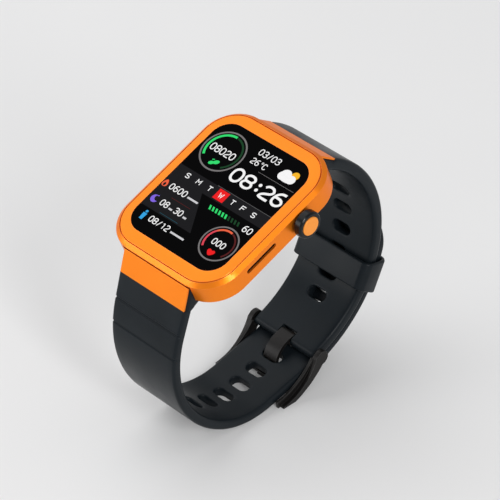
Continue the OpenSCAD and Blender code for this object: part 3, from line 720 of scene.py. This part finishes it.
# Each character is one or more strokes, open or closed, on a cell 1 wide and CELL_H high.
ROUND = [(0.3, 0), (0.7, 0), (1, 0.3), (1, 1), (0.7, 1.3), (0.3, 1.3), (0, 1), (0, 0.3)]
STROKES = {
    "0": [(ROUND, True)],
    "1": [([(0.2, 1.05), (0.6, 1.3), (0.6, 0)], False)],
    "2": [([(0.02, 1.05), (0.25, 1.3), (0.75, 1.3), (1, 1.05), (1, 0.85), (0.8, 0.65), (0.25, 0.45),
            (0, 0.2), (0, 0), (1.02, 0)], False)],
    "3": [([(0.02, 1.1), (0.25, 1.3), (0.75, 1.3), (1, 1.08), (1, 0.86), (0.8, 0.67), (0.35, 0.67)], False),
          ([(0.8, 0.67), (1, 0.46), (1, 0.22), (0.75, 0), (0.25, 0), (0.02, 0.2)], False)],
    "6": [([(0.92, 1.3), (0.5, 1.3), (0.15, 1.05), (0, 0.7), (0, 0.28), (0.28, 0), (0.72, 0), (1, 0.25),
            (1, 0.5), (0.72, 0.75), (0.05, 0.75)], False)],
    "8": [([(0.25, 0), (0.75, 0), (1, 0.22), (1, 0.46), (0.8, 0.67), (0.98, 0.88), (0.98, 1.08),
            (0.74, 1.3), (0.26, 1.3), (0.02, 1.08), (0.02, 0.88), (0.2, 0.67), (0, 0.46), (0, 0.22)],
           True),
          ([(0.2, 0.67), (0.8, 0.67)], False)],
    "/": [([(0.15, 0), (0.85, 1.3)], False)],
    "C": [([(0.98, 1.05), (0.72, 1.3), (0.28, 1.3), (0, 1.02), (0, 0.28), (0.28, 0), (0.72, 0),
            (0.98, 0.25)], False)],
    "S": [([(0.98, 1.1), (0.75, 1.3), (0.25, 1.3), (0.02, 1.1), (0.02, 0.86), (0.25, 0.67), (0.75, 0.63),
            (0.98, 0.44), (0.98, 0.2), (0.75, 0), (0.25, 0), (0.02, 0.2)], False)],
    "M": [([(0, 0), (0, 1.3), (0.5, 0.6), (1, 1.3), (1, 0)], False)],
    "T": [([(0, 1.3), (1, 1.3)], False), ([(0.5, 1.3), (0.5, 0)], False)],
    "W": [([(0, 1.3), (0.25, 0), (0.5, 0.9), (0.75, 0), (1, 1.3)], False)],
    "F": [([(0, 0), (0, 1.3), (1, 1.3)], False), ([(0, 0.68), (0.85, 0.68)], False)],
}


def smooth_corners(points, closed):
    """Cuts each corner of a stroke back twice, which leaves it round."""
    for _ in range(2):
        out = []
        n = len(points)
        for i in range(n if closed else n - 1):
            a = Vector(points[i])
            b = Vector(points[(i + 1) % n])
            out += [a.lerp(b, 0.25), a.lerp(b, 0.75)]
        if not closed:
            out = [Vector(points[0])] + out[1:-1] + [Vector(points[-1])]
        points = out
    return points


class Drawing:
    """Flat shapes that share one object, each with its own material and layer."""

    def __init__(self, name):
        self.name = name
        self.bm = bmesh.new()
        self.materials = []

    def add(self, points, mat, layer):
        if mat not in self.materials:
            self.materials.append(mat)
        z = GLASS_TOP + LAYER * layer
        face = self.bm.faces.new([self.bm.verts.new(head_point(p[0], p[1], z)) for p in points])
        face.material_index = self.materials.index(mat)

    def ribbon(self, points, width, mat, closed=False, layer=2):
        """A stroke of even width along the points, with its corners mitred."""
        points = [Vector(p) for p in points]
        n = len(points)
        sides = []
        for i in range(n):
            before = points[i - 1] if closed or i else points[i]
            after = points[(i + 1) % n] if closed or i < n - 1 else points[i]
            d1 = points[i] - before
            d2 = after - points[i]
            d1 = d1.normalized() if d1.length else d2.normalized()
            d2 = d2.normalized() if d2.length else d1
            across = Vector((-(d1 + d2).y, (d1 + d2).x)).normalized()
            reach = width / 2 / max(0.5, across.dot(Vector((-d1.y, d1.x))))
            sides.append((points[i] + across * reach, points[i] - across * reach))
        for i in range(n if closed else n - 1):
            a, b = sides[i], sides[(i + 1) % n]
            self.add([a[0], a[1], b[1], b[0]], mat, layer)

    def arc(self, c, r, a0, a1, width, mat, layer=2):
        closed = abs(a1 - a0) >= 360
        angles = span(a0, a1, 4)
        self.ribbon([polar(c, r, a) for a in (angles[:-1] if closed else angles)], width, mat, closed, layer)

    def disc(self, c, rx, ry, mat, turn=0, layer=2):
        points = []
        for a in range(0, 360, 10):
            p = Vector((rx * math.cos(math.radians(a)), ry * math.sin(math.radians(a))))
            points.append(Vector(c) + polar((0, 0), p.length, math.degrees(math.atan2(p.y, p.x)) + turn))
        self.add(points, mat, layer)

    def text(self, words, x, y, height, weight, mat, pitch=None, wide=0.62):
        """Characters from their lower left corner. wide is a character's width over its height."""
        w = height * wide
        pitch = pitch or w * 1.35
        for i, ch in enumerate(words):
            for points, closed in STROKES[ch]:
                cell = [(x + i * pitch + px * w, y + py / CELL_H * height) for px, py in points]
                cell = cell if ch in SHARP else smooth_corners(cell, closed)
                self.ribbon(cell, weight * STROKE, mat, closed, layer=3)

    def finish(self):
        mesh = bpy.data.meshes.new(self.name)
        bmesh.ops.recalc_face_normals(self.bm, faces=self.bm.faces)
        self.bm.to_mesh(mesh)
        self.bm.free()
        out = HEAD.to_3x3() @ Vector((0, 0, 1))
        for poly in mesh.polygons:
            if poly.normal.dot(out) < 0:
                poly.flip()
        obj = bpy.data.objects.new(self.name, mesh)
        bpy.context.scene.collection.objects.link(obj)
        for m in self.materials:
            mesh.materials.append(m)
        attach(obj, "watch")
        return obj


def screen_bands():
    d = Drawing("face_bands")
    d.add([(-14.9, 2.0), (14.9, 2.0), (14.9, -1.6), (-14.9, -1.6)], band_grey, 0.5)
    d.add([(-14.9, -1.6), (-4.2, -1.6), (1.6, -11.5), (-14.9, -11.5)], band_grey, 0.4)
    d.ribbon([(-2.5, 2.05), (14.9, 2.05)], 0.1, line_grey, layer=1)
    d.ribbon([(3, 10.05), (14.4, 10.05)], 0.09, ring_grey, layer=1)
    d.ribbon([(-9.6, -6.5), (-3.4, -6.5)], 0.12, dim_red, layer=1)
    d.ribbon([(-9, -11.1), (-3, -11.1)], 0.12, glow("lit_dim_blue", (0.01, 0.07, 0.10)), layer=1)
    d.finish()


def steps_gauge():
    d = Drawing("face_steps")
    c = (-8.5, 9.95)
    d.arc(c, 5.65, 0, 360, 0.42, ring_grey)
    d.arc(c, 4.75, -55, 85, 0.5, dim_green)
    d.arc(c, 4.75, 88, 218, 0.62, green)
    d.text("08020", c[0] - 3.75, 9.0, 1.85, 0.3, white, pitch=1.56)
    d.disc((-7.7, 6.75), 0.85, 0.55, green, turn=35)
    d.disc((-8.75, 6.05), 0.75, 0.5, green, turn=30)
    d.ribbon([(-9.2, 6.9), (-8.6, 7.2)], 0.25, green)
    d.finish()


def date_and_weather():
    d = Drawing("face_weather")
    d.text("03/03", -0.75, 13.85, 1.65, 0.27, white, pitch=1.35)
    d.text("26", -0.75, 11.1, 1.5, 0.25, white, pitch=1.3)
    d.arc((2.3, 12.4), 0.22, 0, 360, 0.14, white, layer=3)
    d.text("C", 2.9, 11.1, 1.5, 0.25, white)
    d.disc((11.55, 13.8), 1.05, 1.05, sun_yellow, layer=2)
    for x, y, rx, ry in ((9.3, 12.9, 1.45, 1.45), (8.7, 12.3, 1.2, 1.2), (11.3, 12.35, 1.25, 1.2),
                         (10.1, 12.0, 2.2, 0.95)):
        d.disc((x, y), rx, ry, white, layer=3 + x / 20)
    d.finish()


def clock_digits():
    d = Drawing("face_clock")
    for ch, x in (("0", -2.0), ("8", 1.65), ("2", 7.75), ("6", 11.35)):
        d.text(ch, x, 4.85, 3.55, 0.72, white, wide=0.78)
    for y in (5.9, 7.45):
        d.disc((6.25, y), 0.45, 0.45, white)
    d.finish()


def week_row():
    d = Drawing("face_week")
    for ch, x in zip("SMTWTFS", (-10.75, -7.15, -3.5, 0.25, 4.05, 7.4, 10.85)):
        d.text(ch, x - 0.55, -0.35, 1.25, 0.26, white, wide=0.88)
    d.add([(-1.35, 1.75), (1.9, 1.75), (1.9, -1.2), (-1.35, -1.2)], red, 1.5)
    d.finish()


def readings():
    d = Drawing("face_readings")
    d.text("0600", -12.3, -4.85, 1.6, 0.28, white, pitch=1.4)
    d.ribbon([(-6.4, -4.35), (-3.0, -4.35)], 0.5, soft_white)
    d.text("08", -10.9, -9.4, 1.55, 0.27, white, pitch=1.35)
    d.ribbon([(-8.0, -9.1), (-6.9, -9.1)], 0.5, soft_white)
    d.text("30", -6.3, -9.4, 1.55, 0.27, white, pitch=1.35)
    d.ribbon([(-3.3, -9.1), (-2.2, -9.1)], 0.5, soft_white)
    d.text("08/12", -9.85, -14.25, 1.55, 0.27, white, pitch=1.32)
    d.ribbon([(-2.8, -13.75), (1.6, -13.75)], 0.5, soft_white)
    # Flame, moon and standing figure
    d.add(smooth_corners([(-14.9, -4.2), (-14.0, -2.7), (-13.1, -4.2), (-13.4, -5.1), (-14.6, -5.1)], True),
          coral, 2)
    d.disc((-14.0, -4.45), 0.33, 0.5, band_grey, layer=3)
    moon = [polar((-13.0, -8.8), 1.1, a) for a in span(60, 330, 12)]
    moon += [polar((-12.35, -8.35), 0.85, a) for a in span(300, 100, 12)]
    d.add(moon, violet, 2)
    d.disc((-11.85, -12.5), 0.38, 0.38, blue)
    d.add([(-12.45, -13.0), (-11.25, -13.0), (-11.4, -14.9), (-12.3, -14.9)], blue, 2)
    d.finish()


def energy_meter():
    d = Drawing("face_meter")
    for i in range(10):
        x = -0.15 + 1.02 * i
        mat = green if i < 6 else dim_green
        d.add([(x, -2.95), (x + 0.55, -2.95), (x + 1.0, -4.1), (x + 0.45, -4.1)], mat, 2)
    d.text("60", 11.4, -4.4, 1.6, 0.28, white, pitch=1.45)
    d.finish()


def pulse_gauge():
    d = Drawing("face_pulse")
    c = (9.5, -10)
    d.arc(c, 4.7, 0, 360, 0.38, ring_grey)
    d.arc(c, 3.85, -40, 75, 0.42, dim_red)
    d.arc(c, 3.85, 78, 140, 0.5, coral)
    d.arc(c, 3.85, 140, 218, 0.5, pink)
    d.text("000", 7.65, -10.75, 1.55, 0.28, white, pitch=1.36)
    heart = [(9.5, -13.95), (8.4, -12.85), (8.45, -12.2), (9.0, -11.95), (9.5, -12.35), (10.0, -11.95),
             (10.55, -12.2), (10.6, -12.85)]
    d.add(smooth_corners(heart, True), red, 2)
    d.finish()


for draw in (screen_bands, steps_gauge, date_and_weather, clock_digits, week_row, readings, energy_meter,
             pulse_gauge):
    draw()

# ---- Floor, light and camera ----

FLOOR_LIFT = 0.10           # the floor's own faint glow, which keeps its shadows pale
LIGHTS_AIM = (0, 0, 0.03)
VIEW_AIM = (10, 0, -10)     # in the loop frame
VIEW_AZIMUTH = 46           # degrees round to the right
VIEW_ELEVATION = 36.6       # degrees above level
VIEW_DISTANCE = 0.66
VIEW_LENS = 208.8


def studio():
    floor_mat = material("pale_floor", (0.72, 0.72, 0.72), 0.7, grain=40, vary=0.015, bump=0.00005, clouds=5)
    floor_shader = floor_mat.node_tree.nodes["Principled BSDF"]
    floor_shader.inputs["Emission Color"].default_value = (1, 1, 1, 1)
    floor_shader.inputs["Emission Strength"].default_value = FLOOR_LIFT
    bm = bmesh.new()
    bmesh.ops.create_grid(bm, x_segments=8, y_segments=8, size=3)
    mesh = bpy.data.meshes.new("floor")
    bm.to_mesh(mesh)
    bm.free()
    floor = bpy.data.objects.new("floor", mesh)
    floor.location.z = -0.00005
    mesh.materials.append(floor_mat)
    bpy.context.scene.collection.objects.link(floor)

    world = bpy.data.worlds.new("studio")
    bpy.context.scene.world = world
    world.use_nodes = True
    world.node_tree.nodes["Background"].inputs["Color"].default_value = (0.99, 0.99, 1.0, 1)
    world.node_tree.nodes["Background"].inputs["Strength"].default_value = 0.52

    def softbox(name, where, size, power):
        light = bpy.data.lights.new(name, "AREA")
        light.shape = "RECTANGLE"
        light.size, light.size_y = size
        light.energy = power
        obj = bpy.data.objects.new(name, light)
        obj.location = where
        obj.rotation_euler = (Vector(LIGHTS_AIM) - obj.location).to_track_quat("-Z", "Y").to_euler()
        bpy.context.scene.collection.objects.link(obj)

    softbox("key", (-0.58, 0.0, 0.8), (1.1, 1.1), 3.6)
    softbox("fill", (-0.62, -0.85, 0.25), (0.8, 0.45), 3.1)
    softbox("rim", (0.85, -0.27, 0.55), (0.22, 0.5), 4.6)


def camera():
    """A long lens that looks from the right and from above."""
    aim = loop_point(*VIEW_AIM)
    azimuth = math.radians(VIEW_AZIMUTH)
    elevation = math.radians(VIEW_ELEVATION)
    outward = Vector((math.sin(azimuth) * math.cos(elevation), -math.cos(azimuth) * math.cos(elevation),
                      math.sin(elevation)))
    data = bpy.data.cameras.new("camera")
    data.sensor_width = 36
    data.lens = VIEW_LENS
    data.clip_start = 0.01
    cam = bpy.data.objects.new("camera", data)
    cam.location = aim + outward * VIEW_DISTANCE
    cam.rotation_euler = (-outward).to_track_quat("-Z", "Y").to_euler()
    bpy.context.scene.collection.objects.link(cam)
    bpy.context.scene.camera = cam


studio()
camera()
bpy.context.scene.view_settings.view_transform = "Standard"
